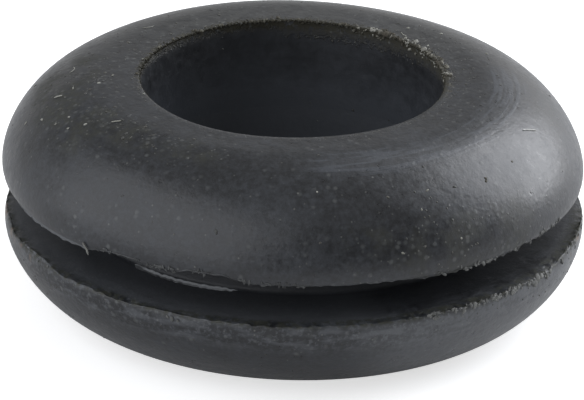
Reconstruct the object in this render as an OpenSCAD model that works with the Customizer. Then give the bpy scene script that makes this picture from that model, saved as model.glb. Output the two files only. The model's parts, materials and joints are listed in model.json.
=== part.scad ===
// Open rubber grommet: one moulded ring with two crowned flanges, a straight
// cable bore and a square groove that the edge of a panel snaps into.
// The origin is the middle of the groove, on the axis of the bore. Millimetres.

/* [Flanges] */
// Outside diameter of both flanges
flange_d = 20; // [16:0.5:40]
// Thickness of each flange, from the groove to its flat land
flange_t = 3.3; // [1:0.1:8]
// Width of the flat land that each flange has round the bore
land_w = 1.2; // [0.4:0.1:4]

/* [Bore] */
// Diameter of the bore that the cable runs through
bore_d = 10.5; // [3:0.5:14]

/* [Panel groove] */
// Diameter of the neck at the bottom of the groove, which fills the panel hole
neck_d = 15; // [11.5:0.5:19]
// Width of the groove, which grips the edge of the panel
groove_w = 1.4; // [0.5:0.1:5]

/* [Hidden] */

$fn = 180;

bore_r = bore_d / 2;
neck_r = neck_d / 2;
flange_r = flange_d / 2;
half_h = groove_w / 2 + flange_t; // from the middle of the groove to a land
land_r = bore_r + land_w; // where the flat land ends and the crown begins

// The crown is one arc, tangent to the land, that comes down to the flange's
// rim. Where the flange is thicker than the crown is wide, it is a quarter
// circle with a straight rim below it.
crown_w = flange_r - land_r;
crown_r = crown_w < flange_t
    ? crown_w
    : (crown_w * crown_w + flange_t * flange_t) / (2 * flange_t);

// Half of a flange's section, on the right of the axis: the part under the
// land, and the crown beside it.
module flange_section() {
    translate([bore_r, groove_w / 2]) square([land_w, flange_t]);
    // cut off at the land and at the groove only, because the arc ends at the
    // flange's rim by itself
    intersection() {
        translate([land_r, groove_w / 2]) square([crown_r, flange_t]);
        union() {
            translate([land_r, half_h - crown_r]) circle(r = crown_r);
            // the straight rim, which has no height where the arc reaches
            // the groove
            if (crown_w < flange_t)
                translate([land_r, groove_w / 2]) square([crown_w, flange_t - crown_r]);
        }
    }
}

// The neck joins the flanges, and its outside is the bottom of the groove.
module neck_section() {
    translate([bore_r, -groove_w / 2]) square([neck_r - bore_r, groove_w]);
}

module grommet() {
    color([0.16, 0.165, 0.175])
        rotate_extrude() {
            flange_section();
            mirror([0, 1]) flange_section();
            neck_section();
        }
}

grommet();
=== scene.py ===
# %% [markdown]
# # An open rubber grommet
# A grommet lines a hole in sheet metal, so that a cable can pass without being
# cut. This one is a single lump of black rubber, pressed hot between plates
# round a core pin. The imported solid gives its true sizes, and this lesson adds
# what the mould and the years in a drawer gave it: thin flash on its edges, a
# strand of it peeled away, grey bloom, turning marks and dust.

# %% Load the frame
import json
import math

import bmesh
import bpy
import numpy as np
from mathutils import Matrix, Vector


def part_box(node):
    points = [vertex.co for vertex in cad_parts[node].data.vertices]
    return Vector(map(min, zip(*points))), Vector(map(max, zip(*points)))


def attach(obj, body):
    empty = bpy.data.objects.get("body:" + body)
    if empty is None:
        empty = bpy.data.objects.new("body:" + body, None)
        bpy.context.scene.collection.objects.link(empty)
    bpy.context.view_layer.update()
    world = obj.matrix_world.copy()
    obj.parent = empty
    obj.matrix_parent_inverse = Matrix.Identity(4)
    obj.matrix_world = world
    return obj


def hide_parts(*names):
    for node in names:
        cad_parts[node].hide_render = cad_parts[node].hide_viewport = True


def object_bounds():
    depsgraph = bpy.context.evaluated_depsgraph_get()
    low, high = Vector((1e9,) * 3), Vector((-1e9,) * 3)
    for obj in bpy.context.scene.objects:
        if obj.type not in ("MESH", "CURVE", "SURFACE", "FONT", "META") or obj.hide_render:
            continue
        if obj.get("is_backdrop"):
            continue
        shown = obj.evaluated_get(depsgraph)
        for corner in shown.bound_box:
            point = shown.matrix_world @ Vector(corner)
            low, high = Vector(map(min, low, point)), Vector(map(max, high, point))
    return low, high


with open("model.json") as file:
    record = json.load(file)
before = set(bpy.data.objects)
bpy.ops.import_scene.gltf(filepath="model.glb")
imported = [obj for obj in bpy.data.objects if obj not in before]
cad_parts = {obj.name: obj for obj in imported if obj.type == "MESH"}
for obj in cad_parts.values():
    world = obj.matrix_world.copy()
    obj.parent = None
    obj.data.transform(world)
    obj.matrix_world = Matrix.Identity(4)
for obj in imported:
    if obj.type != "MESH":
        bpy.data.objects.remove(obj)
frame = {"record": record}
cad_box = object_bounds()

MM = 0.001
print("the solid spans", [round(x / MM, 2) for x in cad_box[1] - cad_box[0]], "mm")

# %% [markdown]
# ## The driving sizes
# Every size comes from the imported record, so nothing here can drift from the
# solid. The mounts state the bore, the neck and the groove, the flat land's
# middle is where the ring rests, and the box gives the flange and the height.

# %% Read the sizes
mounts = {m["name"]: m for m in frame["record"]["mounts"]}
bore_r = mounts["cable_bore"]["dims"]["r_mm"] * MM
neck_r = mounts["panel_groove"]["dims"]["r_mm"] * MM
half_groove = mounts["panel_groove"]["dims"]["length_mm"] * MM / 2
flange_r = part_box("grommet")[1].x
half_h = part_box("grommet")[1].z
land_r = 2 * mounts["lower_land"]["pos_m"][0] - bore_r

crown_w = flange_r - land_r
flange_t = half_h - half_groove
crown_r = (crown_w**2 + flange_t**2) / (2 * flange_t)
crown_z = half_h - crown_r
print(f"crown radius {crown_r / MM:.2f} mm, land from {bore_r / MM:.2f} to {land_r / MM:.2f} mm")

# %% [markdown]
# ## The section
# A turned shape could be a screw modifier on a drawn curve. Here the section is
# written as straight and round stretches, because each row of points then has a
# known place, and the wear further on can be given to single rows. Each stretch
# leaves its last point to the next one.

# %% Straight and round stretches
RIM_ROUND = 0.05 * MM
LIP_ROUND = 0.07 * MM
ROOT_ROUND = 0.15 * MM
LIP_WEAR = 0.45 * MM
# how far the middle of a rounded corner lies inside the sharp one
RIM_INSET = 0.3 * RIM_ROUND
LIP_INSET = 0.3 * LIP_ROUND


def straight(start, end, steps):
    share = np.arange(steps)[:, None] / steps
    return np.array(start) * (1 - share) + np.array(end) * share


def arc(centre, radius, first_deg, last_deg, steps):
    angle = np.radians(np.linspace(first_deg, last_deg, steps, endpoint=False))
    return np.array(centre) + radius * np.stack([np.cos(angle), np.sin(angle)], axis=1)


# %% Draw the upper half of the section
lip_deg = math.degrees(math.asin((half_groove + LIP_ROUND - crown_z) / crown_r))
lip_way = Vector((math.cos(math.radians(lip_deg)), math.sin(math.radians(lip_deg))))
lip_centre = Vector((land_r, crown_z)) + (crown_r - LIP_ROUND) * lip_way
WORN_DEG = math.degrees(LIP_WEAR / crown_r)

# the last number of a stretch is how many points it has
stretches = {
    "bore": straight((bore_r, 0), (bore_r, half_h - RIM_ROUND), 7),
    "rim": arc((bore_r + RIM_ROUND, half_h - RIM_ROUND), RIM_ROUND, 180, 90, 3),
    "land": straight((bore_r + RIM_ROUND, half_h), (land_r, half_h), 7),
    "crown": arc((land_r, crown_z), crown_r, 90, lip_deg + WORN_DEG, 25),
    "worn crown": arc((land_r, crown_z), crown_r, lip_deg + WORN_DEG, lip_deg, 5),
    "lip": arc(lip_centre, LIP_ROUND, lip_deg, -90, 5),
    "worn roof": straight((lip_centre.x, half_groove), (lip_centre.x - LIP_WEAR, half_groove), 5),
    "roof": straight((lip_centre.x - LIP_WEAR, half_groove), (neck_r + ROOT_ROUND, half_groove), 3),
    "root": arc((neck_r + ROOT_ROUND, half_groove - ROOT_ROUND), ROOT_ROUND, 90, 180, 3),
    "neck": straight((neck_r, half_groove - ROOT_ROUND), (neck_r, 0), 2),
}
upper = np.concatenate(list(stretches.values()))
neck_middle = np.array([[neck_r, 0.0]])
section = np.concatenate([upper, neck_middle, (upper[1:] * [1, -1])[::-1]])
print("the section has", len(section), "points")

# %% [markdown]
# ## Unevenness that closes on itself
# Rubber leaves a hot mould a little out of round. A sum of waves with whole
# numbers of turns meets itself after one lap, which plain random numbers would
# not do. Few turns give a gentle lean, and many give a ragged edge.

# %% Waves round the ring
TURNS = 720


def round_steps(turns):
    return 2 * np.pi * np.arange(turns) / turns


def wave(seed, fewest, most, at):
    """A sum of waves, each with its own whole number of turns, that strays by about 1."""
    rng = np.random.default_rng(seed)
    total = np.zeros_like(at)
    for count in range(fewest, most):
        total += rng.normal() * np.cos(count * at + rng.uniform(0, 2 * np.pi))
    return total / math.sqrt((most - fewest) / 2)


def stretch_of(at, first_deg, last_deg, soft_deg=3.0):
    """1 between two angles and 0 outside them, with soft ends."""
    middle = math.radians((first_deg + last_deg) / 2)
    half = math.radians((last_deg - first_deg) / 2)
    away = np.abs((at - middle + np.pi) % (2 * np.pi) - np.pi)
    share = np.clip((half - away) / math.radians(soft_deg) + 0.5, 0, 1)
    return share * share * (3 - 2 * share)


angles = round_steps(TURNS)
print("a gentle wave spans", np.ptp(wave(3, 2, 5, angles)).round(2))
print("a ragged one spans", np.ptp(wave(3, 90, 200, angles)).round(2))

# %% [markdown]
# ## How the lips of the groove wear
# The mould splits at the groove, so rubber creeps out along both of its lips as
# thin flash. Some of it stands on the lips still, and some has torn off and taken
# a sliver of the edge along. Angles run from the right, against the clock, seen
# from above, so 270 degrees is the front.

# %% Place the wear
# each stretch: first and last angle, and how far the edge moves, in millimetres
UPPER_HANGING = ((203, 226, 0.11), (294, 317, 0.09))
UPPER_TORN = ((229, 261, 0.09), (232, 240, 0.10), (249, 259, 0.12))
LOWER_STANDING = ((199, 216, 0.12), (335, 352, 0.09))
# how far each lip ripples and how low it lies everywhere else, in millimetres
UPPER_RIPPLE, UPPER_LOW = 0.012, 0.012
LOWER_SWELL, LOWER_RIPPLE, LOWER_LOW = 0.014, 0.010, 0.045


def upper_lip_rise(at):
    """How far the upper lip lies above its true place."""
    rise = UPPER_RIPPLE * wave(21, 40, 120, at) - UPPER_LOW
    for first, last, depth in UPPER_HANGING:
        rise = rise - depth * stretch_of(at, first, last, 12)
    for first, last, depth in UPPER_TORN:
        rise = rise + depth * stretch_of(at, first, last, 4)
    return rise * MM


def lower_lip_rise(at):
    """How far the lower lip lies above its true place."""
    rise = LOWER_SWELL * wave(22, 5, 24, at) + LOWER_RIPPLE * wave(23, 60, 160, at) - LOWER_LOW
    for first, last, height in LOWER_STANDING:
        rise = rise + height * stretch_of(at, first, last, 9)
    return rise * MM


for lip, rise_of in (("upper", upper_lip_rise), ("lower", lower_lip_rise)):
    rises = rise_of(angles) / MM
    print(f"the {lip} lip lies between {rises.min():.2f} and {rises.max():.2f} mm above its true place")

# %% [markdown]
# ## How the ring differs from its drawing
# Soft rubber doesn't keep to a drawing. The two plates of the mould didn't quite
# meet, so the top stands a little to the left of the bottom, and both flanges
# bulge above their lips. One function moves a point of the drawn ring to its place
# on the real one. Every piece goes through it, so dust and flash stay on the
# rubber. The land that the ring stands on keeps its height, and still rests flat.

# %% Lean, bulge and waver
# the ring moves sideways by LEAN_START, and by LEAN of its height: to the left as it rises
LEAN = -0.028
LEAN_START = 0.029 * MM
# a flange swells by BULGE above its lip and shrinks by as much at the lip, over a height of LIP_FADE
BULGE = 0.065 * MM
LIP_FADE = 0.30 * MM
# a stretch of the lower lip that is pressed in: first and last angle, and how far in millimetres
PRESSED_LIP = (168, 200, 0.11)
FLANGE_WAVER = 0.020 * MM
BORE_WAVER = 0.015 * MM
TOP_WAVER = 0.015 * MM


def settle(points):
    """The place on the real ring of points on the drawn one."""
    x, y, z = points.T
    at, radius = np.arctan2(y, x), np.hypot(x, y)
    outward = np.clip((radius - neck_r) / (flange_r - neck_r), 0, 1)
    inward = np.clip((neck_r - radius) / (neck_r - bore_r), 0, 1)
    past_lip = np.clip(np.abs(z) - half_groove, 0, flange_t)
    near_a_lip = np.exp(-past_lip / LIP_FADE)
    bulge = BULGE * (np.sin(np.pi * np.sqrt(past_lip / flange_t)) - near_a_lip)
    first, last, depth = PRESSED_LIP
    bulge = bulge - np.where(z < 0, near_a_lip, 0) * depth * MM * stretch_of(at, first, last, 24)
    grow = outward * (bulge + FLANGE_WAVER * wave(31, 2, 6, at)) + inward * BORE_WAVER * wave(32, 2, 5, at)
    lift = np.clip(z / half_h, 0, 1) * TOP_WAVER * wave(33, 2, 5, at)
    share = 1 + grow / radius
    return np.stack([x * share + LEAN_START + LEAN * z, y * share, z + lift], axis=1)


# %% [markdown]
# ## The skin
# The section goes once round the axis, and the rows of points by the lips get
# their share of the wear. The torn upper lip takes more of the groove along.

# %% Turn the section and wear it
LIP_REACH = 0.18 * MM
UPPER_UNDERCUT = 0.70 * MM


def near_lip(side, reach, undercut):
    """1 at one lip, fading to 0 past a reach on the crown, and past another inside the groove."""
    across, along = section[:, 0] - flange_r, section[:, 1] - side * half_groove
    fade = np.where(side * along > LIP_INSET, reach, undercut)
    return np.exp(-(np.hypot(across, along) / fade) ** 2)[:, None]


def round_the_axis(radius, height, at):
    radius, height, at = np.broadcast_arrays(radius, height, at)
    return np.stack([radius * np.cos(at), radius * np.sin(at), height], axis=-1)


skin_r, skin_z = section[:, :1], section[:, 1:]
skin_z = skin_z + near_lip(1, LIP_REACH, UPPER_UNDERCUT) * upper_lip_rise(angles)
skin_z = skin_z + near_lip(-1, LIP_REACH, LIP_REACH) * lower_lip_rise(angles)
skin_points = round_the_axis(skin_r, skin_z, angles).reshape(-1, 3)

# %% [markdown]
# ## From points to a piece
# Blender takes a list of points and a list of faces. The signed volume of the
# closed surface says which way the faces look: if it is negative, each face is
# written backwards. Every piece rides on the ring's one body, and gets its finish
# further on.

# %% Join a grid of points with faces
def tube_faces(rows, columns, closed):
    """Quads of a grid whose rows close up, and whose columns may."""
    column_list = np.arange(columns if closed else columns - 1)
    row, column = np.meshgrid(np.arange(rows), column_list, indexing="ij")
    below, beside = (row + 1) % rows, (column + 1) % columns
    corners = [(row, column), (row, beside), (below, beside), (below, column)]
    return np.stack([r * columns + c for r, c in corners], axis=-1).reshape(-1, 4)


def enclosed(points, faces):
    """The signed volume inside a closed surface of quads."""
    a, b, c, d = (points[faces[:, k]] for k in range(4))
    return (np.einsum("ij,ij->i", a, np.cross(b, c)) + np.einsum("ij,ij->i", a, np.cross(c, d))).sum() / 6


skin_faces = tube_faces(len(section), TURNS, closed=True)
print("it holds", round(abs(enclosed(skin_points, skin_faces)) / MM**3, 1), "cubic millimetres")


# %% Make a piece
def make_piece(name, points, faces):
    # a lump's triangles already look outward
    if faces.shape[1] == 4 and enclosed(points, faces) < 0:
        faces = faces[:, ::-1]
    mesh = bpy.data.meshes.new(name)
    mesh.from_pydata(settle(points).tolist(), [], faces.tolist())
    mesh.shade_smooth()
    piece = bpy.data.objects.new(name, mesh)
    bpy.context.scene.collection.objects.link(piece)
    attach(piece, "root")
    print(name, "has", sum(len(p.vertices) - 2 for p in mesh.polygons), "triangles")
    return piece


skin = make_piece("grommet_skin", skin_points, skin_faces)
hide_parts("grommet")

# %% [markdown]
# ## Flash on the edges
# Flash is a blade of rubber some hundredths of a millimetre high, and about a
# sixth of a millimetre where it is roughest. As a bump it would vanish at the
# outline, so it is a thin mesh: five points of blade, set into the edge, that
# reach out further where the edge is rough.

# %% A blade along an edge
SUNK = 0.05 * MM


def flash(name, radius, height, lean_deg, reach, thick):
    """A blade round the whole edge. Its lean is an angle up from straight outward."""
    lean = np.array([math.cos(math.radians(lean_deg)), math.sin(math.radians(lean_deg))])
    side = np.array([-lean[1], lean[0]]) * thick / 2
    foot = np.full_like(reach, -SUNK)
    outline = ((foot, 1.0), (0.4 * reach, 0.8), (reach, 0.0), (0.4 * reach, -0.8), (foot, -1.0))
    radii = np.stack([radius + out * lean[0] + across * side[0] for out, across in outline])
    heights = np.stack([height + out * lean[1] + across * side[1] for out, across in outline])
    points = round_the_axis(radii, heights, round_steps(len(reach))).reshape(-1, 3)
    return make_piece(name, points, tube_faces(len(outline), len(reach), closed=True))


def ragged(seed, at, fewest=110, most=330):
    return np.clip(wave(seed, fewest, most, at), 0, 2.5)


# %% Put flash on both lips
FINE_TURNS = 1500
CRUMBLED_LIP = (298, 354)

fine = round_steps(FINE_TURNS)
crumbled = stretch_of(fine, *CRUMBLED_LIP, 14)
lip_edge_r = flange_r - LIP_INSET
upper_edge_z = half_groove + LIP_INSET + upper_lip_rise(fine)
lower_edge_z = -half_groove - LIP_INSET + lower_lip_rise(fine)
upper_reach = 0.012 + (0.014 + 0.012 * crumbled) * ragged(41, fine, 60, 200)
lower_reach = 0.013 + (0.016 + 0.030 * crumbled) * ragged(42, fine, 60, 220)
upper_flash = flash("upper_lip_flash", lip_edge_r, upper_edge_z, -60, upper_reach * MM, 0.07 * MM)
lower_flash = flash("lower_lip_flash", lip_edge_r, lower_edge_z, 50, lower_reach * MM, 0.08 * MM)

# %% Put flash on both mouths
MOUTH_TURNS = 2400
GRITTY_RIM = (2, 66)
SERRATED_RIM = (68, 182)

mouth_fine = round_steps(MOUTH_TURNS)
gritty = stretch_of(mouth_fine, *GRITTY_RIM, 10)
serrated = stretch_of(mouth_fine, *SERRATED_RIM, 12)
mouth_r = bore_r + RIM_INSET
mouth_z = half_h - RIM_ROUND
top_reach = 0.020 + (0.022 + 0.030 * gritty + 0.040 * serrated) * ragged(43, mouth_fine, 130, 460)
bottom_reach = 0.008 + 0.015 * ragged(44, fine)
top_flash = flash("top_mouth_flash", mouth_r, mouth_z, 178, top_reach * MM, 0.07 * MM)
bottom_flash = flash("bottom_mouth_flash", mouth_r, -mouth_z, 182, bottom_reach * MM, 0.06 * MM)

# %% [markdown]
# ## The strand that has peeled away
# At the front left a strip of flash has come loose: one end still holds to the
# lip, and the rest sags across the groove. It could be a bevelled curve. A flat
# strip swept along its own path lets it be tall and thin, as torn flash is, and
# wider at the end where it still holds.

# %% Sweep a flat strip
def sweep(name, path, face_out, tall, thick):
    """A closed flat strip along a path. face_out is the way its flat side looks."""
    along = np.gradient(path, axis=0)
    along /= np.linalg.norm(along, axis=1, keepdims=True)
    up = np.cross(face_out, along)
    up /= np.linalg.norm(up, axis=1, keepdims=True)
    out = np.cross(along, up)
    half_thick, half_tall = thick[:, None] / 2, tall[:, None] / 2
    ring = np.radians(np.arange(0, 360, 45))
    rows = [path + math.cos(a) * out * half_thick + math.sin(a) * up * half_tall for a in ring]
    cap = np.array([(0, 1, 2, 3), (0, 3, 4, 7), (4, 5, 6, 7)]) * len(path)
    faces = [tube_faces(len(ring), len(path), closed=False), cap[:, ::-1], cap + len(path) - 1]
    return make_piece(name, np.stack(rows).reshape(-1, 3), np.concatenate(faces))


# %% Hang the strand across the groove
def hang(name, at, radius, height, tall, thick):
    """A strip along the lip, with its flat side outward."""
    path, outward = round_the_axis(radius, height, at), round_the_axis(1.0, 0.0, at)
    return sweep(name, path, outward, tall, thick)


STRAND_DEG = (238.8, 260.0)
STRAND_SAG = 0.25 * MM
STRAND_THICK = 0.05 * MM
# in millimetres: how tall it is, how much it loses on the way, and what the end that holds adds
STRAND_TALL, STRAND_SLIMS, STRAND_ROOT = 0.172, 0.045, 0.03
STRAND_RIPPLE = 0.010

strand_share = np.linspace(0, 1, 160)
strand_at = np.radians(STRAND_DEG[0] + (STRAND_DEG[1] - STRAND_DEG[0]) * strand_share)
strand_sag = STRAND_SAG * (1 - (1 - strand_share) ** 2.5)
strand_z = half_groove - strand_sag + STRAND_RIPPLE * MM * wave(51, 8, 30, strand_at * 9)
strand_r = flange_r + (0.03 + 0.04 * np.sin(np.pi * strand_share)) * MM
strand_ends = np.clip(np.minimum(strand_share / 0.02, (1 - strand_share) / 0.10), 0.04, 1)
strand_root = np.clip(1 - strand_share / 0.15, 0, 1)
strand_tall = STRAND_TALL - STRAND_SLIMS * strand_share + STRAND_ROOT * strand_root
strand_tall = (strand_tall + STRAND_RIPPLE * wave(52, 5, 20, strand_at * 9)) * MM * strand_ends
strand = hang("peeled_strand", strand_at, strand_r, strand_z, strand_tall, STRAND_THICK * strand_ends)

# %% [markdown]
# ## Lint and a loose fibre
# A few hairs lie on the ring, and a thread of torn rubber hangs from the lip.
# They are strips too, laid on the surface. The helper that finds a place on the
# top takes a distance from the bore's rim, over the land and down the crown, and
# an angle, and gives the point there and the way the surface looks.

# %% Find a place on the top
LAND_W = land_r - bore_r


def on_top(distance, at):
    fall = np.clip((distance - LAND_W) / crown_r, 0, None)
    radius = np.where(distance < LAND_W, bore_r + distance, land_r + crown_r * np.sin(fall))
    height = np.where(distance < LAND_W, half_h, crown_z + crown_r * np.cos(fall))
    look = round_the_axis(np.sin(fall), np.cos(fall), at)
    return round_the_axis(radius, height, at), look


CROWN_LENGTH = crown_r * math.radians(90 - lip_deg)
print(f"from the bore's rim to the lip it is {(LAND_W + CROWN_LENGTH) / MM:.2f} mm")

# %% Lay the hairs
# each hair: angle, distance from the rim, length, turn against the rim, bend, width
HAIRS = (
    (139, 1.45, 0.45, 25, 0.08, 0.04), (189.5, 2.85, 0.34, -62, 0.04, 0.07),
    (215, 1.90, 0.36, -55, 0.02, 0.07), (341.4, 3.34, 0.74, 31, 0.03, 0.065),
    (174.8, 2.35, 0.50, 8, 0.12, 0.035), (47.3, 0.43, 0.45, 20, 0.06, 0.04),
)
# the hair that shines: its place in the list
BRIGHT_HAIR = 3


def hair(name, angle_deg, distance, length, turn_deg, bend, wide):
    share = np.linspace(-0.5, 0.5, 14)
    across = length * share * math.cos(math.radians(turn_deg)) * MM
    down = (length * share * math.sin(math.radians(turn_deg)) + bend * (4 * share**2 - 0.5)) * MM
    at = math.radians(angle_deg) + across / (bore_r + distance * MM)
    points, look = on_top(distance * MM + down, at)
    width = wide * MM * np.clip((0.5 - np.abs(share)) / 0.12, 0.2, 1)
    return sweep(name, points + 0.2 * wide * MM * look, look, width, 0.45 * width)


hairs = [hair(f"lint_{i}", *row) for i, row in enumerate(HAIRS)]

# %% Hang the thread from the lip
THREAD_DEG = (226.4, 227.5)
THREAD_WIDE = 0.10 * MM
# how high above the lip it starts, and how far down it hangs from there, in millimetres
THREAD_START, THREAD_DROP = 0.20, 0.42

thread_share = np.linspace(0, 1, 12)
thread_at = np.radians(THREAD_DEG[0] + (THREAD_DEG[1] - THREAD_DEG[0]) * thread_share)
thread_z = half_groove + (THREAD_START - THREAD_DROP * thread_share) * MM
thread_r = flange_r + (0.035 + 0.02 * thread_share) * MM
thread_wide = THREAD_WIDE * np.clip((1.02 - thread_share) / 0.2, 0.3, 1)
thread = hang("lip_thread", thread_at, thread_r, thread_z, thread_wide, 0.5 * thread_wide)

# %% [markdown]
# ## Dust and crumbs
# The finest dust is left to the shader. The larger grains catch the light and
# cast a shadow, so they are small squashed lumps, sunk into the rubber. Grains
# of one kind are one mesh, and a fixed seed makes every run alike.

# %% Shape one grain
def lump(subdivisions):
    """A ball of radius 1: its points and its triangles."""
    shape = bmesh.new()
    bmesh.ops.create_icosphere(shape, subdivisions=subdivisions, radius=1.0)
    points = np.array([v.co for v in shape.verts])
    faces = np.array([[v.index for v in f.verts] for f in shape.faces])
    shape.free()
    return points, faces


ROUGH_LUMP = lump(1)
SMOOTH_LUMP = lump(2)
print("a rough lump has", len(ROUGH_LUMP[1]), "triangles and a smooth one", len(SMOOTH_LUMP[1]))


# %% Scatter many
def scatter(name, where, sizes, seed, flat=0.35, longer=1.5, shape=ROUGH_LUMP):
    """Lumps on the ring, at places that look outward.

    A size is half a width. A lump is up to longer times as long, and flat times as high."""
    rng = np.random.default_rng(seed)
    lump_points, lump_faces = shape
    all_points, all_faces = [], []
    for i, (place, look, size) in enumerate(zip(*where, sizes)):
        spin = Matrix.Rotation(rng.uniform(0, 6.28), 3, "Z")
        turn = Vector(look).to_track_quat("Z", "Y").to_matrix() @ spin
        stretch = np.array([rng.uniform(0.8, longer), rng.uniform(0.6, 1.0), flat]) * size
        dents = 1 + 0.15 * rng.normal(size=(len(lump_points), 1)).clip(-1.5, 1.5)
        all_points.append((lump_points * dents * stretch) @ np.array(turn).T + place)
        all_faces.append(lump_faces + i * len(lump_points))
    return make_piece(name, np.concatenate(all_points), np.concatenate(all_faces))


dust_rng = np.random.default_rng(61)


def strew(name, where, middle, seed, largest=0.08, **how):
    """Lumps whose half widths spread round a middle one, in millimetres."""
    sizes = dust_rng.lognormal(math.log(middle), 0.35, len(where[0]))
    return scatter(name, where, np.clip(sizes, 0.6 * middle, largest) * MM, seed, **how)


def set_on_top(name, rows, seed, **how):
    """Lumps placed one by one: angle, distance from the rim, half width."""
    deg, distance, size = np.array(rows).T
    return scatter(name, on_top(distance * MM, np.radians(deg)), size * MM, seed, **how)


# %% [markdown]
# ## Where the dust has settled
# Dust lies thickest where fingers don't wipe it off: beyond the land at the left,
# low on the crown at the front right, and round the mouth's far side, where it
# sticks to the flash. The shoulder at the right has been wiped clean. Each drift
# is a stretch of angle and a stretch of distance from the rim. A few large grains
# that catch the eye are placed one by one.

# %% Fill the drifts
# each drift: first and last angle, nearest and furthest distance, grains
DRIFTS = (
    (0, 360, 0.1, 5.3, 56), (174, 208, 1.0, 3.9, 60), (205, 240, 1.0, 2.5, 34), (290, 312, 3.4, 5.4, 16),
    (296, 312, 5.0, 6.2, 8), (20, 75, 0.1, 1.6, 30), (325, 20, 0.3, 2.2, 26), (110, 200, 0.1, 2.2, 60),
)
# the wiped shoulder: its angles, and its distances from the rim
WIPED_DEG = (308, 360)
WIPED_FROM, WIPED_TO = 2.3 * MM, 4.9 * MM

drift_at, drift_distance = [], []
for first, last, near, far, count in DRIFTS:
    spread = (last - first) % 360 or 360
    drift_at.append(np.radians(first + spread * dust_rng.random(count)))
    drift_distance.append(dust_rng.uniform(near, far, count) * MM)
drift_at, drift_distance = np.concatenate(drift_at), np.concatenate(drift_distance)
wiped = stretch_of(drift_at, *WIPED_DEG, 1.0) > 0.5
wiped = wiped & (drift_distance > WIPED_FROM) & (drift_distance < WIPED_TO)
top_dust = strew("top_dust", on_top(drift_distance[~wiped], drift_at[~wiped]), 0.044, 62, flat=0.16)

# %% Place the large grains
# each large grain: angle, distance, half its width
LARGE_GRAINS = (
    (188, 1.4, 0.075), (209, 2.7, 0.07), (190, 4.3, 0.055), (201, 3.4, 0.06), (206, 3.2, 0.055),
    (195, 3.7, 0.05), (202, 2.9, 0.055), (188, 2.3, 0.05), (182, 0.9, 0.055), (165, 0.1, 0.06),
    (200, 0.1, 0.05), (50, 1.0, 0.085), (40, 1.5, 0.05), (34, 0.4, 0.055), (22, 2.0, 0.06),
    (301, 3.7, 0.045), (276, 3.3, 0.04), (298, 4.3, 0.04), (292, 5.6, 0.045), (305, 5.5, 0.045),
)
large_grains = set_on_top("large_grains", LARGE_GRAINS, 67, flat=0.5, longer=2.0)

# %% Grains in the bore and on the lower flange
# each drift in the bore: first and last angle, lowest and highest point, grains
BORE_DRIFTS = ((0, 360, -3.5, 3.6, 26), (28, 88, 3.28, 3.50, 26), (120, 170, 3.55, 3.75, 8))
# each drift on the lower flange: first and last angle, nearest and furthest distance, grains
LOWER_DRIFTS = ((0, 360, 3.0, 5.6, 60), (300, 350, 5.3, 6.3, 30), (200, 300, 5.2, 6.3, 30))


def in_bore(first_deg, last_deg, lowest, highest, count):
    at = np.radians(dust_rng.uniform(first_deg, last_deg, count))
    z = dust_rng.uniform(lowest, highest, count) * MM
    return round_the_axis(bore_r, z, at), round_the_axis(-1.0, 0.0, at)


def on_lower(first_deg, last_deg, near, far, count):
    at = np.radians(dust_rng.uniform(first_deg, last_deg, count))
    points, looks = on_top(dust_rng.uniform(near, far, count) * MM, at)
    return points * [1, 1, -1], looks * [1, 1, -1]


def joined(parts):
    return [np.concatenate(both) for both in zip(*parts)]


in_the_bore = joined([in_bore(*drift) for drift in BORE_DRIFTS])
on_the_flange = joined([on_lower(*drift) for drift in LOWER_DRIFTS])
bore_dust = strew("bore_dust", in_the_bore, 0.036, 63)
lower_dust = strew("lower_dust", on_the_flange, 0.026, 64)

# %% [markdown]
# ## Crumbs on the broken edges
# Where flash has broken away it leaves crumbs of rubber and dust. They are pale
# and gritty at the right of the mouth, and dark on the serrated flash at its far
# left. Along the lips they lie in clusters, with knots and paler clots among
# them, and the torn edge has small dark ones. Three dark spots are pressed into
# the crown.

# %% Crumble the mouth
MOUTH_LUMP_DEG = (50.5, 53.0)
MOUTH_LUMP_SIZES = np.array([0.13, 0.12, 0.10, 0.09, 0.07]) * MM


def on_mouth(stretch_deg, count, spread):
    """Places on the edge of the mouth, some of them up to a spread over the land or down the bore."""
    at = np.radians(dust_rng.uniform(*stretch_deg, count))
    past = dust_rng.normal(0, 0.5, count).clip(-1, 1) * spread * MM
    look = round_the_axis(-0.7, 0.7, at)
    return round_the_axis(bore_r + np.clip(past, 0, None), half_h + np.clip(past, None, 0), at), look


mouth_crumbs = strew("mouth_crumbs", on_mouth(GRITTY_RIM, 170, 0.26), 0.050, 65, largest=0.10, flat=0.8)
serrated_crumbs = strew("serrated_crumbs", on_mouth(SERRATED_RIM, 130, 0.14), 0.044, 74, flat=0.8)
lump_places = on_mouth(MOUTH_LUMP_DEG, len(MOUTH_LUMP_SIZES), 0.06)
mouth_lump = scatter("mouth_lump", lump_places, MOUTH_LUMP_SIZES, 68, flat=0.8)

# %% Crumble the lower lip
# each knot and each clot: angle, height, half its width
KNOTS = (
    (246.9, -0.93, 0.075), (245.9, -0.88, 0.055), (248.1, -0.95, 0.05), (214.5, -0.74, 0.05),
    (210.9, -0.78, 0.04), (324.0, -0.86, 0.10), (329.0, -0.90, 0.11), (330.6, -0.84, 0.09),
    (322.7, -0.83, 0.08), (336.0, -0.85, 0.09),
)
CLOTS = (
    (325.9, -0.83, 0.17), (324.9, -0.90, 0.12), (327.2, -0.79, 0.11), (324.0, -0.80, 0.06),
    (328.6, -0.88, 0.06),
)


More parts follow.
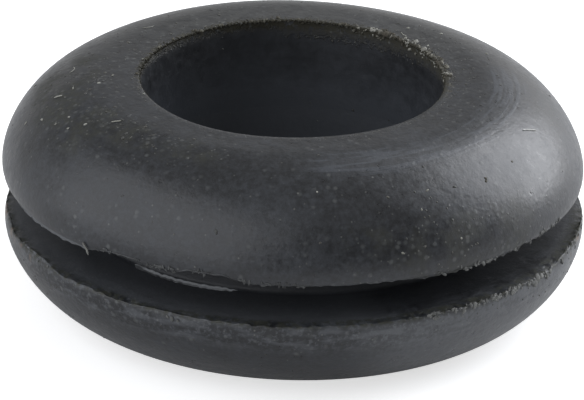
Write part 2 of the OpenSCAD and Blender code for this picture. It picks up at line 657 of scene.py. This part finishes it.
def on_lip(side, stretch_deg, clusters, each, rise_of):
    """Places along a lip, in clusters of so many crumbs each."""
    middles = dust_rng.uniform(*stretch_deg, clusters)
    at = np.radians(np.repeat(middles, each) + dust_rng.normal(0, 0.6, clusters * each))
    out = dust_rng.uniform(-0.03, 0.14, clusters * each) * MM
    height = side * (half_groove + out) + rise_of(at)
    return round_the_axis(flange_r, height, at), round_the_axis(0.9, side * 0.3, at)


def set_on_rim(name, rows, seed, **how):
    """Smooth lumps placed one by one on the outermost edge."""
    deg, z, size = np.array(rows).T
    at = np.radians(deg)
    where = round_the_axis(flange_r, z * MM, at), round_the_axis(1.0, 0.0, at)
    return scatter(name, where, size * MM, seed, shape=SMOOTH_LUMP, **how)


lower_places = on_lip(-1, CRUMBLED_LIP, 26, 6, lower_lip_rise)
lower_crumbs = strew("lower_lip_crumbs", lower_places, 0.052, 66, largest=0.10,
                     flat=0.22, shape=SMOOTH_LUMP)
knots = set_on_rim("lip_knots", KNOTS, 71, flat=0.45)
clots = set_on_rim("lip_clots", CLOTS, 75, flat=0.3, longer=2.0)

# %% Press in the spots and crumble the upper lip
UPPER_CRUMBLED = (298, 348)
TORN_EDGE = (229, 272)
# each spot: angle, distance, half its width
SPOTS = ((316.7, 3.88, 0.085), (316.4, 3.97, 0.06), (327.0, 3.77, 0.055))

spots = set_on_top("pressed_spots", SPOTS, 72, flat=0.2)
upper_places = on_lip(1, UPPER_CRUMBLED, 16, 4, upper_lip_rise)
upper_crumbs = strew("upper_lip_crumbs", upper_places, 0.042, 69, shape=SMOOTH_LUMP)
torn_places = on_lip(1, TORN_EDGE, 24, 4, upper_lip_rise)
torn_crumbs = strew("torn_lip_crumbs", torn_places, 0.029, 73, largest=0.055,
                    flat=0.3, longer=2.0, shape=SMOOTH_LUMP)

# %% [markdown]
# ## Shader maths that reads like maths
# A material is a graph of nodes. Wired by hand, a sum takes four lines. The class
# below holds one socket and lets Python's own signs make the nodes, so that
# 1 - mask is a Math node. One method makes every other kind of node: the settings
# go in first, because some of them change which sockets there are.

# %% Wrap a socket
class Wire:
    def __init__(self, tree, socket=None):
        self.tree, self.socket = tree, socket

    def node(self, kind, settings=None, sockets=None, out=0):
        made = self.tree.nodes.new(kind)
        for name, value in (settings or {}).items():
            if name == "stops":
                for spare in list(made.color_ramp.elements)[2:]:
                    made.color_ramp.elements.remove(spare)
                while len(made.color_ramp.elements) < len(value):
                    made.color_ramp.elements.new(0.5)
                for element, (place, colour) in zip(made.color_ramp.elements, value):
                    element.position, element.color = place, colour
            else:
                setattr(made, name, value)
        for name, value in (sockets or {}).items():
            if isinstance(value, Wire):
                self.tree.links.new(value.socket, made.inputs[name])
            else:
                made.inputs[name].default_value = value
        return Wire(self.tree, made.outputs[out] if made.outputs else None)

    def math(self, operation, *values):
        return self.node("ShaderNodeMath", {"operation": operation}, dict(enumerate(values)))

    def __add__(self, other):
        return self.math("ADD", self, other)

    def __sub__(self, other):
        return self.math("SUBTRACT", self, other)

    def __rsub__(self, other):
        return self.math("SUBTRACT", other, self)

    def __mul__(self, other):
        return self.math("MULTIPLY", self, other)

    def __truediv__(self, other):
        return self.math("DIVIDE", self, other)

    def __pow__(self, other):
        return self.math("POWER", self, other)

    __radd__, __rmul__ = __add__, __mul__

    def smooth(self, low, high):
        """0 below low and 1 above high, with a soft step between; it falls where low is the larger."""
        first, last, start, end = (low, high, 0.0, 1.0) if low < high else (high, low, 1.0, 0.0)
        return self.node("ShaderNodeMapRange", {"interpolation_type": "SMOOTHSTEP"},
                         {"Value": self, "From Min": first, "From Max": last, "To Min": start, "To Max": end})

    def tint(self, colour, other):
        """One colour where this value is 0, and the other where it is 1."""
        ends = {6: as_colour(colour), 7: as_colour(other)}
        return self.node("ShaderNodeMix", {"data_type": "RGBA"}, {0: self, **ends}, 2)


def as_colour(colour):
    return colour if isinstance(colour, Wire) else (*colour, 1.0)


# %% [markdown]
# ## Where a shader is on the ring
# Rubber that came out of a turned mould carries its marks round the axis. So the
# shader works in millimetres and in the ring's own terms: the radius, the height,
# how near it lies to a compass angle, and how far down the crown it is.

# %% Find the place on the ring
class Place:
    def __init__(self, tree):
        self.tree, self.node = tree, Wire(tree).node
        metres = self.node("ShaderNodeTexCoord", out=3)
        self.at = self.node("ShaderNodeVectorMath", {"operation": "SCALE"}, {0: metres, 3: 1 / MM})
        self.x, self.y, self.z = self.split("XYZ", self.at)
        self.radius = (self.x * self.x + self.y * self.y) ** 0.5
        self.off_middle = self.z.math("ABSOLUTE", self.z)
        # grows from the rim of the bore, over the land and down the crown to the lip
        self.down = self.radius - self.off_middle

    def split(self, kind, wire):
        """The three numbers in a vector or a colour."""
        made = self.node(f"ShaderNodeSeparate{kind}", None, {0: wire}).socket.node
        return [Wire(self.tree, socket) for socket in made.outputs]

    def toward(self, angle_deg, half_width_deg, soft_deg):
        """1 within a half width of an angle, and 0 past a soft edge beyond it."""
        turn = math.radians(angle_deg)
        cosine = (self.x * math.cos(turn) + self.y * math.sin(turn)) / self.radius
        outer = math.cos(math.radians(half_width_deg + soft_deg))
        return cosine.smooth(outer, math.cos(math.radians(half_width_deg)))

    def noise(self, scale, detail, seed, rough=0.5, at=None):
        """Cloudy noise with so many features to the millimetre."""
        sockets = {"Vector": at or self.at, "W": seed, "Scale": scale, "Detail": detail, "Roughness": rough}
        return self.node("ShaderNodeTexNoise", {"noise_dimensions": "4D"}, sockets)

    def rings(self, scale, turns, seed, detail=2.0):
        """Streaks that run round the axis: fine down the section, long round it."""
        along = {0: self.down * scale, 1: self.x / self.radius * turns, 2: self.y / self.radius * turns}
        return self.noise(1.0, detail, seed, at=self.node("ShaderNodeCombineXYZ", None, along))

    def specks(self, per_mm, size_mm, share, seed=0.0):
        """Round soft spots in a share of the cells of a random grid, some strong and some weak."""
        moved = {0: self.at, 1: (seed, seed, seed)}
        shifted = self.node("ShaderNodeVectorMath", {"operation": "ADD"}, moved)
        near = self.node("ShaderNodeTexVoronoi", None, {"Vector": shifted, "Scale": per_mm})
        pick, strength, _ = self.split("Color", Wire(self.tree, near.socket.node.outputs["Color"]))
        edge = size_mm * per_mm / 2
        return near.smooth(edge, 0.25 * edge) * (share - pick).smooth(-0.01, 0.01) * (strength * 0.7 + 0.3)


# %% [markdown]
# ## Black rubber with a bloom
# The rubber is coloured with soot, and it reflects as little light as it can. What
# one sees is a soft sheen on its skin, and a grey bloom where wax and talc have
# come to the surface. Fingers rub the bloom off the outside. So the base colour is
# almost black and the bloom lifts it in clouds. The paler grey deep in the bore and
# on the groove's walls is painted light, which lifts these shaded hollows. The
# turned shoulder carries painted glints, the back of the top a painted reflection,
# and the faces under the torn lip painted shade. Each finish below is a mask: zones
# of the ring times a texture.

# %% Name the colours and the zones
SOOT = (0.0120, 0.0130, 0.0150)
# the bloom's grey, which also stands as painted light deep in the bore and as painted glints on the turned
# shoulder
BLOOM_AND_LIGHT = (0.046, 0.051, 0.060)
# a pale grey: painted light on the groove's shaded walls, and rubbed wear on the lower lip
TALC_AND_PAINTED_LIGHT = (0.085, 0.090, 0.098)
# a pale grey for a painted reflection of the room on the back of the top
BACK_REFLECTION = (0.082, 0.082, 0.074)
EARTH = (0.028, 0.029, 0.021)
CRUST = (0.027, 0.025, 0.016)
EDGE_BROWN = (0.110, 0.066, 0.038)
POWDER = (0.100, 0.105, 0.103)
CHALK = (0.17, 0.172, 0.158)

# each zone round the ring: angle, half its width and the width of its soft edge, in degrees
DUSTY_LEFT, DUSTY_FRONT_LEFT, DUSTY_FRONT = (192, 18, 14), (222, 18, 16), (303, 15, 12)
DUSTY_LAND, DUSTY_BACK = (22, 40, 16), (158, 30, 20)
TORN_LIP, PALE_LIP = (245, 14, 4), (326, 30, 16)
# the shoulder under the gleam, where the turning marks get painted glints
TURNED_GLEAMING_SHOULDER = (323, 38, 16)
# at the right the groove's walls get less of the painted light, and dirt is swept into the groove there
GROOVE_LESS_PAINTED_LIGHT, SWEPT_GROOVE = (335, 38, 14), (326, 28, 6)
CRUSTED_RIGHT, CRUSTED_BACK = (47, 42, 10), (143, 40, 12)
TOOTHED_MOUTH, SLEEK_BORE = (90, 95, 20), (172, 26, 20)
# brown spots on the lower lip's edge, near the outline at the left and the right
BROWN_EDGE_LEFT, BROWN_EDGE_RIGHT = (190, 16, 8), (349, 6, 5)

BORE_MM, LAND_MM, NECK_MM, FLANGE_MM = (r / MM for r in (bore_r, land_r, neck_r, flange_r))
GROOVE_MM, TOP_MM = half_groove / MM, half_h / MM
LIP_DOWN = FLANGE_MM - GROOVE_MM
print(f"down is {BORE_MM - TOP_MM:.2f} at the rim, {LAND_MM - TOP_MM:.2f} where the land ends")
print(f"and {LIP_DOWN:.2f} at the lip")


# %% Map the skin
class Skin(Place):
    """The place on the ring, with the textures and zones that several finishes share."""

    def __init__(self, tree):
        super().__init__(tree)
        self.clouds = self.noise(0.55, 4.0, 1.0).smooth(0.35, 0.72)
        self.mottle = self.noise(3.2, 4.0, 2.0, rough=0.6)
        self.grain = self.noise(11.0, 3.0, 3.0, rough=0.6)
        self.leather = self.noise(6.5, 3.0, 12.0, rough=0.65)
        self.chips = self.noise(5.0, 3.0, 13.0, rough=0.7)
        self.patches = self.noise(5.0, 3.0, 9.0)
        self.streaks = self.rings(6.0, 2.2, 4.0)
        self.scuffs = self.rings(3.0, 9.0, 5.0, detail=4.0)
        self.wisps = self.rings(4.2, 3.2, 7.0, detail=3.0)

        self.inside = self.radius.smooth(BORE_MM + 0.10, BORE_MM + 0.02)
        self.in_groove = self.off_middle.smooth(GROOVE_MM + 0.03, GROOVE_MM - 0.03)
        faces_up = self.split("XYZ", self.node("ShaderNodeNewGeometry", out=1))[2]
        # the faces that look down under the torn lip: bare torn rubber, which the colour also keeps black as
        # painted shade
        torn = faces_up.smooth(0.05, -0.25) * self.z.smooth(0.4, 0.5) * self.toward(*TORN_LIP)
        self.torn = torn * self.radius.smooth(FLANGE_MM - 0.9, FLANGE_MM - 0.6)
        self.open = (1 - self.inside) * (1 - self.in_groove) * (1 - self.torn)
        below = self.z.smooth(-0.5, -0.6) * self.down.smooth(LIP_DOWN - 1.5, LIP_DOWN - 0.5)
        self.lower_lip = below * self.open
        # the turning marks on the right shoulder: real bumps, with painted glints in their colour where the
        # gleam falls
        shoulder = self.down.smooth(2.5, 3.1) * self.down.smooth(4.6, 3.7) * self.z.smooth(0.5, 1.5)
        self.turned_with_glints = shoulder * self.toward(*TURNED_GLEAMING_SHOULDER)
        left = self.toward(*DUSTY_LEFT) * self.down.smooth(6.8, 5.0)
        left = (left + self.toward(*DUSTY_FRONT_LEFT) * self.down.smooth(4.8, 3.7)).smooth(0.0, 1.0)
        self.left = left * self.down.smooth(2.3, 3.1)
        self.front = self.toward(*DUSTY_FRONT) * self.down.smooth(6.4, 7.4) * self.z.smooth(0.2, 0.6)


# %% Bloom, talc and film
def bloom_and_painted_light(on, bloom_and_light_share):
    """The colour of clean rubber, with painted light in the bore and the groove, painted glints on the turned
    shoulder and a painted reflection on the back of the top.
    """
    # painted light: the grey deep in the bore lifts the shaded hollow
    deep_painted_light = on.off_middle.smooth(TOP_MM - 0.7, 0.5) * on.inside
    bloom_and_light = on.clouds * 0.24 + on.mottle.smooth(0.35, 0.7) * 0.25 + (on.streaks - 0.5) * 0.22
    bloom_and_light = bloom_and_light + (on.scuffs - 0.5) * on.lower_lip * 2.0 + deep_painted_light
    # painted glints: the turning marks are paler in colour where the gleam falls on them
    bloom_and_light = bloom_and_light + on.turned_with_glints * (on.wisps.smooth(0.49, 0.59) * 1.1 + 0.25)
    bloom_and_light = bloom_and_light + ((on.leather - 0.5) * 1.2 + on.grain.smooth(0.52, 0.74) * 0.20) * on.open
    colour = (bloom_and_light * bloom_and_light_share).tint(SOOT, BLOOM_AND_LIGHT)

    # painted light: the groove's walls are painted pale grey, which lifts the shaded groove, with less of it
    # at the right
    walls = on.in_groove * on.radius.smooth(NECK_MM, NECK_MM + 0.25) * (1 - on.torn)
    groove_painted_light = on.in_groove * 0.10 + walls * (0.90 - on.toward(*GROOVE_LESS_PAINTED_LIGHT) * 0.90)
    colour = groove_painted_light.tint(colour, TALC_AND_PAINTED_LIGHT)
    # the same pale grey is rubbed wear on the lower lip, and a pale patch at its right
    pale_lip = on.toward(*PALE_LIP) * on.z.smooth(-0.7, -1.0) * on.open
    rubbed = on.scuffs.smooth(0.47, 0.66) * 0.5 + on.leather.smooth(0.50, 0.66) * 0.55
    colour = (rubbed * on.lower_lip + pale_lip * on.leather * 1.3).tint(colour, TALC_AND_PAINTED_LIGHT)
    # painted reflection: the top is painted paler towards the back and the top, in mottled patches
    back_reflection = on.y.smooth(0.0, 7.0) * on.z.smooth(1.0, 3.0) * on.open
    return (back_reflection * on.mottle.smooth(0.2, 0.7) * 0.45).tint(colour, BACK_REFLECTION)


# %% Dirt, crust and brown edge spots
def dirt_mask(on):
    """Olive dirt on the crown, along the lower lip and swept into the groove."""
    on_crown = (on.left * 0.7 + on.front * 0.5) * on.noise(1.0, 4.0, 8.0).smooth(0.42, 0.6)
    by_lip = (on.off_middle - GROOVE_MM).smooth(0.24, 0.04) * on.z.smooth(-0.2, -0.4)
    by_lip = by_lip * on.patches.smooth(0.40, 0.60) * on.radius.smooth(FLANGE_MM - 0.5, FLANGE_MM - 0.2)
    swept = on.toward(*SWEPT_GROOVE) * on.z.smooth(-0.3, -0.6) * on.in_groove
    swept = swept * on.radius.smooth(FLANGE_MM - 0.55, FLANGE_MM - 0.3)
    return on_crown + by_lip * 0.8 + swept * on.noise(2.2, 3.0, 14.0).smooth(0.44, 0.56) * 1.2


def crust_mask(on):
    """Crust just inside the mouth, with a ragged lower edge."""
    edge = on.z + (on.patches - 0.5) * 0.7 + (on.grain - 0.5) * 0.6
    right = edge.smooth(3.34, 3.50) * on.toward(*CRUSTED_RIGHT) * 0.5
    return (right + edge.smooth(3.66, 3.80) * on.toward(*CRUSTED_BACK) * 0.7) * on.inside


def teeth_mask(on):
    """Dark chips bitten out of the rim of the mouth."""
    chip = on.chips - 0.5
    teeth = (on.radius + chip * 2.0).smooth(BORE_MM + 0.15, BORE_MM + 0.09)
    teeth = teeth * (on.z + chip * 0.6).smooth(TOP_MM - 0.50, TOP_MM - 0.10)
    return teeth * (0.25 + on.toward(*TOOTHED_MOUTH) * 0.75)


def brown_edge_mask(on):
    """Brown spots on the edge of the lower lip, near the outline at the left and the right."""
    edge = on.off_middle.smooth(GROOVE_MM + 0.45, GROOVE_MM + 0.15)
    edge = edge * on.off_middle.smooth(GROOVE_MM + 0.02, GROOVE_MM + 0.08) * on.lower_lip
    spots = on.noise(1.8, 3.0, 10.0).smooth(0.50, 0.64)
    return (on.toward(*BROWN_EDGE_LEFT) + on.toward(*BROWN_EDGE_RIGHT)) * edge * spots


# %% Mix the rubber
def new_tree(holder):
    holder.use_nodes = True
    holder.node_tree.nodes.clear()
    return holder.node_tree


def cover(place, colour, roughness, height, strength, distance, ior=1.5):
    """Wires a principled shader with a bumped surface to the output."""
    bump = place.node("ShaderNodeBump", None, {"Strength": strength, "Distance": distance, "Height": height})
    sockets = {"Base Color": colour, "Roughness": roughness, "IOR": ior, "Normal": bump}
    shader = place.node("ShaderNodeBsdfPrincipled", None, sockets)
    place.node("ShaderNodeOutputMaterial", None, {"Surface": shader})


def rubber(name, bloom_and_light_share=1.0, dirt_share=0.0, crust_share=0.0):
    material = bpy.data.materials.new(name)
    on = Skin(new_tree(material))
    dirt, crust, teeth = dirt_mask(on) + dirt_share, crust_mask(on), teeth_mask(on)
    colour = bloom_and_painted_light(on, bloom_and_light_share)
    colour = (dirt * on.patches.smooth(0.25, 0.6)).tint(colour, EARTH)
    # the faces under the torn lip that look down are kept soot-black: bare torn rubber, and painted shade
    colour = on.torn.tint(colour, SOOT)
    colour = (crust * on.patches.smooth(0.30, 0.55) + teeth + crust_share).tint(colour, CRUST)
    # brown spots along the lower lip's edge, near the outline at the left and the right
    colour = (brown_edge_mask(on) * 0.7).tint(colour, EDGE_BROWN)

    # specks of pale dust and dark pits
    land = on.toward(*DUSTY_LAND) * on.down.smooth(3.0, 2.4)
    back = on.toward(*DUSTY_BACK) * on.down.smooth(4.0, 2.6)
    dusty = 0.20 + on.left + (on.front + land + back) * 0.7 + on.lower_lip * 0.6
    powder = on.specks(4.3, 0.23, dusty * 0.38) * on.open
    chalk = on.specks(9.0, 0.10, dusty * 0.13, seed=3.7) * on.open
    pits = on.specks(3.0, 0.13, 0.12, seed=9.3) * on.open
    on_crust = on.specks(6.0, 0.14, crust * 0.5, seed=5.1)
    colour = (powder * 0.55 + on_crust * 0.7).tint(colour, POWDER)
    colour = (pits * 0.35).tint((chalk * 0.55).tint(colour, CHALK), SOOT)

    # orange peel, turned rings, chips and pits, in millimetres
    height = on.noise(1.6, 3.0, 11.0) * 0.016 + on.mottle * 0.016 + on.leather * 0.006
    height = height + on.grain * 0.003 + (on.streaks - 0.5) * 0.003 + on.turned_with_glints * on.wisps * 0.012
    height = height + on.scuffs * on.lower_lip * 0.05 + crust * on.patches * 0.06
    height = height - teeth * on.open * on.chips * 0.06 + (powder + chalk) * 0.004 - pits * 0.008
    roughness = 0.36 + (on.clouds - 0.5) * 0.06 + (on.mottle - 0.5) * 0.30 + (on.leather - 0.5) * 0.25
    roughness = roughness + (dirt + crust) * 0.25 + (on.inside + on.in_groove) * 0.2 + on.torn * 0.6
    roughness = roughness - on.inside * on.toward(*SLEEK_BORE) * 0.12 + teeth * 0.3 + crust_share * 0.5
    cover(on, colour, roughness, height, 1.0, MM, ior=1.52)
    print(name, "has", len(material.node_tree.nodes), "nodes")
    return material


# %% Put the rubber on
def finish_with(material, *made):
    for piece in made:
        piece.data.materials.clear()
        piece.data.materials.append(material)


finish_with(rubber("black_rubber"), skin)
finish_with(rubber("lip_rubber", bloom_and_light_share=1.5, dirt_share=0.2), upper_flash, lower_flash)
finish_with(rubber("mouth_rubber", crust_share=0.9), top_flash, bottom_flash)
finish_with(rubber("torn_rubber", bloom_and_light_share=1.7, dirt_share=0.3), strand)

# %% [markdown]
# ## Dust, crumbs and lint
# House dust is mostly grey, with a few ochre and pale grains. The noise is much
# coarser than a grain, so each grain comes out in nearly one colour, and the ramp
# says how common each colour is.

# %% Colour the grains
GREY, DARK_GREY = (0.064, 0.066, 0.063), (0.055, 0.056, 0.053)
OCHRE, PALE = (0.082, 0.078, 0.064), (0.115, 0.115, 0.107)
BROWN, OLIVE = (0.070, 0.060, 0.042), (0.06, 0.056, 0.042)
STRAW, CREAM = (0.22, 0.21, 0.175), (0.34, 0.335, 0.30)
SHADE = (0.05, 0.05, 0.045)


def grains(name, *stops):
    """A finish whose grains take the colours of a ramp: each stop is a place on it and a colour."""
    material = bpy.data.materials.new(name)
    place = Place(new_tree(material))
    ramp = {"stops": [(stop, (*colour, 1.0)) for stop, colour in stops]}
    colour = place.node("ShaderNodeValToRGB", ramp, {0: place.noise(2.6, 0.0, 11.0)})
    shade = place.noise(22.0, 1.0, 12.0)
    colour = (shade * 0.5).tint(colour, SHADE)
    cover(place, colour, 0.7 + shade * 0.2, shade, 0.6, 0.01 * MM)
    return material


dust = grains("dust", (0.32, GREY), (0.46, DARK_GREY), (0.54, OCHRE), (0.60, GREY), (0.70, PALE))
crumbs = grains("crumbs", (0.32, BROWN), (0.40, OLIVE), (0.48, STRAW), (0.58, CREAM))
rubber_crumbs = grains("rubber_crumbs", (0.34, (0.10, 0.103, 0.10)), (0.5, (0.14, 0.143, 0.138)),
                       (0.68, (0.18, 0.183, 0.175)))
dark_crumbs = grains("torn_crumbs", (0.35, (0.036, 0.038, 0.040)), (0.62, (0.070, 0.073, 0.074)))
soiled = grains("soiled", (0.45, (0.036, 0.033, 0.022)), (0.6, (0.070, 0.062, 0.040)),
                (0.68, (0.13, 0.125, 0.10)))
pale_clots = grains("pale_clots", (0.4, (0.15, 0.152, 0.145)), (0.6, (0.24, 0.243, 0.23)))
pale_thread = grains("pale_thread", (0.4, (0.15, 0.15, 0.14)), (0.6, (0.20, 0.20, 0.185)))
lint = grains("lint", (0.3, (0.24, 0.24, 0.205)), (0.6, (0.38, 0.38, 0.34)))
bright_fibre = grains("bright_fibre", (0.3, (0.55, 0.55, 0.53)), (0.6, (0.70, 0.70, 0.68)))

# %% Put the grains' finishes on
finish_with(dust, top_dust, bore_dust, lower_dust)
finish_with(crumbs, mouth_crumbs, mouth_lump)
finish_with(rubber_crumbs, lower_crumbs, upper_crumbs, knots)
finish_with(dark_crumbs, torn_crumbs)
finish_with(soiled, spots, serrated_crumbs)
finish_with(pale_clots, clots)
finish_with(pale_thread, thread)
finish_with(lint, large_grains, *hairs)
finish_with(bright_fibre, hairs[BRIGHT_HAIR])

# %% [markdown]
# ## The floor
# The floor is a pale sheet. Most of the brightness that the camera sees in it is
# its own glow. Camera rays get all of it and mirror rays a little, so the sheet is
# white and lights the rubber from below no more than pale card would. The rest is
# plain diffuse reflection, which keeps the ring's shadow. From below it is clear.

# %% Lay the floor
FLOOR_HALF = 0.6
CARD_GREY = (0.76, 0.76, 0.76, 1.0)
SEEN_GLOW, MIRRORED_GLOW = 0.65, 0.06

floor_mesh = bpy.data.meshes.new("floor")
corners = [(x * FLOOR_HALF, y * FLOOR_HALF, -half_h) for x, y in ((-1, -1), (1, -1), (1, 1), (-1, 1))]
floor_mesh.from_pydata(corners, [], [(0, 1, 2, 3)])
floor = bpy.data.objects.new("floor", floor_mesh)
bpy.context.scene.collection.objects.link(floor)
floor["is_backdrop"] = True

card = bpy.data.materials.new("pale_card")
paper = Wire(new_tree(card))
seen = paper.node("ShaderNodeLightPath", out=0)
mirrored = paper.node("ShaderNodeLightPath", out=3)
matt = paper.node("ShaderNodeBsdfDiffuse", None, {"Color": CARD_GREY})
glow = paper.node("ShaderNodeEmission", None, {"Strength": seen * SEEN_GLOW + mirrored * MIRRORED_GLOW})
sheet = paper.node("ShaderNodeAddShader", None, {0: matt, 1: glow})
from_below = paper.node("ShaderNodeNewGeometry", out=6)
clear = paper.node("ShaderNodeBsdfTransparent")
surface = paper.node("ShaderNodeMixShader", None, {0: from_below, 1: sheet, 2: clear})
paper.node("ShaderNodeOutputMaterial", None, {"Surface": surface})
floor_mesh.materials.append(card)
print("the floor is", 2 * FLOOR_HALF, "m wide")

# %% [markdown]
# ## Light
# Soft lamps are hidden from the camera, but rubber mirrors them. A round softbox
# stands at the right, a little behind the ring, and makes the broad gleam on its
# shoulder. A wider, weaker one at the left lights the near side. The world is the
# rest of the room: dim in front, paler behind, and paler still where walls stand
# at the right and high up behind it.

# %% Paint the room
BEHIND = (-0.2, 1.0, 0.0)
# each pale wall: the way to it, the cosines where it starts and is palest, and how pale
WALLS = (
    ((0.57, 0.82, 0.0), 0.78, 0.99, 0.5), ((0.29, 0.65, 0.70), 0.94, 1.0, 0.7),
    ((0.93, 0.37, 0.0), 0.80, 0.98, 0.45),
)

world = bpy.data.worlds.new("room")
bpy.context.scene.world = world
sky = Wire(new_tree(world))
view_way = sky.node("ShaderNodeTexCoord", out=0)
view_up = sky.node("ShaderNodeSeparateXYZ", None, {0: view_way}, out=2)


def facing(way):
    return sky.node("ShaderNodeVectorMath", {"operation": "DOT_PRODUCT"}, {0: view_way, 1: way}, out=1)


room = facing(BEHIND).smooth(-0.3, 0.6) * view_up.smooth(0.55, 0.10) * 0.36
room = room + view_up.smooth(0.5, 0.9) * 0.22 + 0.185
for way, start, palest, pale in WALLS:
    room = room + facing(way).smooth(start, palest) * pale
seen_sky = sky.node("ShaderNodeLightPath", out=0)
strength = sky.node("ShaderNodeMix", {"data_type": "FLOAT"}, {0: seen_sky, 2: room, 3: 1.0})
air = sky.node("ShaderNodeBackground", None, {"Color": (1, 1, 1, 1), "Strength": strength})
sky.node("ShaderNodeOutputWorld", None, {"Surface": air})
print("the room has", len(WALLS), "pale walls")

# %% Hang the lamps
LAMP_COLOUR = (0.965, 0.99, 1.045)


def softbox(name, azimuth_deg, rise_deg, distance, width, height, radiance, shape="RECTANGLE"):
    """A lamp that looks at the ring. A white sheet at its place would be as bright as radiance."""
    turn, rise = math.radians(azimuth_deg), math.radians(rise_deg)
    out = math.cos(rise)
    away = distance * Vector((out * math.cos(turn), out * math.sin(turn), math.sin(rise)))
    lamp = bpy.data.lights.new(name, "AREA")
    lamp.shape, lamp.size, lamp.size_y = shape, width, height
    area = width * height * (math.pi / 4 if shape == "ELLIPSE" else 1)
    lamp.energy = radiance * math.pi * area
    lamp.color = LAMP_COLOUR
    holder = bpy.data.objects.new(name, lamp)
    holder.location = away
    holder.rotation_euler = (-away).to_track_quat("-Z", "Y").to_euler()
    holder.visible_camera = False
    bpy.context.scene.collection.objects.link(holder)
    print(f"{name} gives {lamp.energy:.3f} W from {distance} m")


softbox("right_lamp", 28, 29.5, 0.12, 0.114, 0.116, 4.6, "ELLIPSE")
softbox("left_lamp", 210, 30, 0.30, 0.56, 0.36, 1.45)

# %% [markdown]
# ## Camera
# A long lens from a little above the front, as for a parts catalogue: far enough
# away that the two flanges look alike in width. The camera leans a little, so
# that the right side of the ring sits lower in the frame.

# %% Set the camera
VIEW_RISE_DEG = 23.55
VIEW_DISTANCE = 180 * MM
VIEW_ROLL_DEG = 1.25
LENS = 321.4
AIM_BELOW = 0.54 * MM

view_rise = math.radians(VIEW_RISE_DEG)
camera_place = VIEW_DISTANCE * Vector((0, -math.cos(view_rise), math.sin(view_rise)))
image_up = Vector((0, math.sin(view_rise), math.cos(view_rise)))
look_along = -AIM_BELOW * image_up - camera_place
lens = bpy.data.cameras.new("camera")
lens.lens = LENS
lens.clip_start = 0.01
camera = bpy.data.objects.new("camera", lens)
camera.location = camera_place
camera.rotation_euler = (look_along.to_track_quat("-Z", "Y").to_matrix()
                         @ Matrix.Rotation(math.radians(VIEW_ROLL_DEG), 3, "Z")).to_euler()
bpy.context.scene.collection.objects.link(camera)
bpy.context.scene.camera = camera
bpy.context.scene.view_settings.view_transform = "Standard"
print("the camera stands at", [round(x / MM, 1) for x in camera_place], "mm")

# %% [markdown]
# ## Finish
# The model must stay the size of the solid, so both boxes are kept for a look.

# %% Compare the sizes and finish
seen_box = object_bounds()
for end, solid, whole in zip(("low", "high"), cad_box, seen_box):
    print(end, "corner past the solid:", [round((a - b) / MM, 3) for a, b in zip(whole, solid)], "mm")
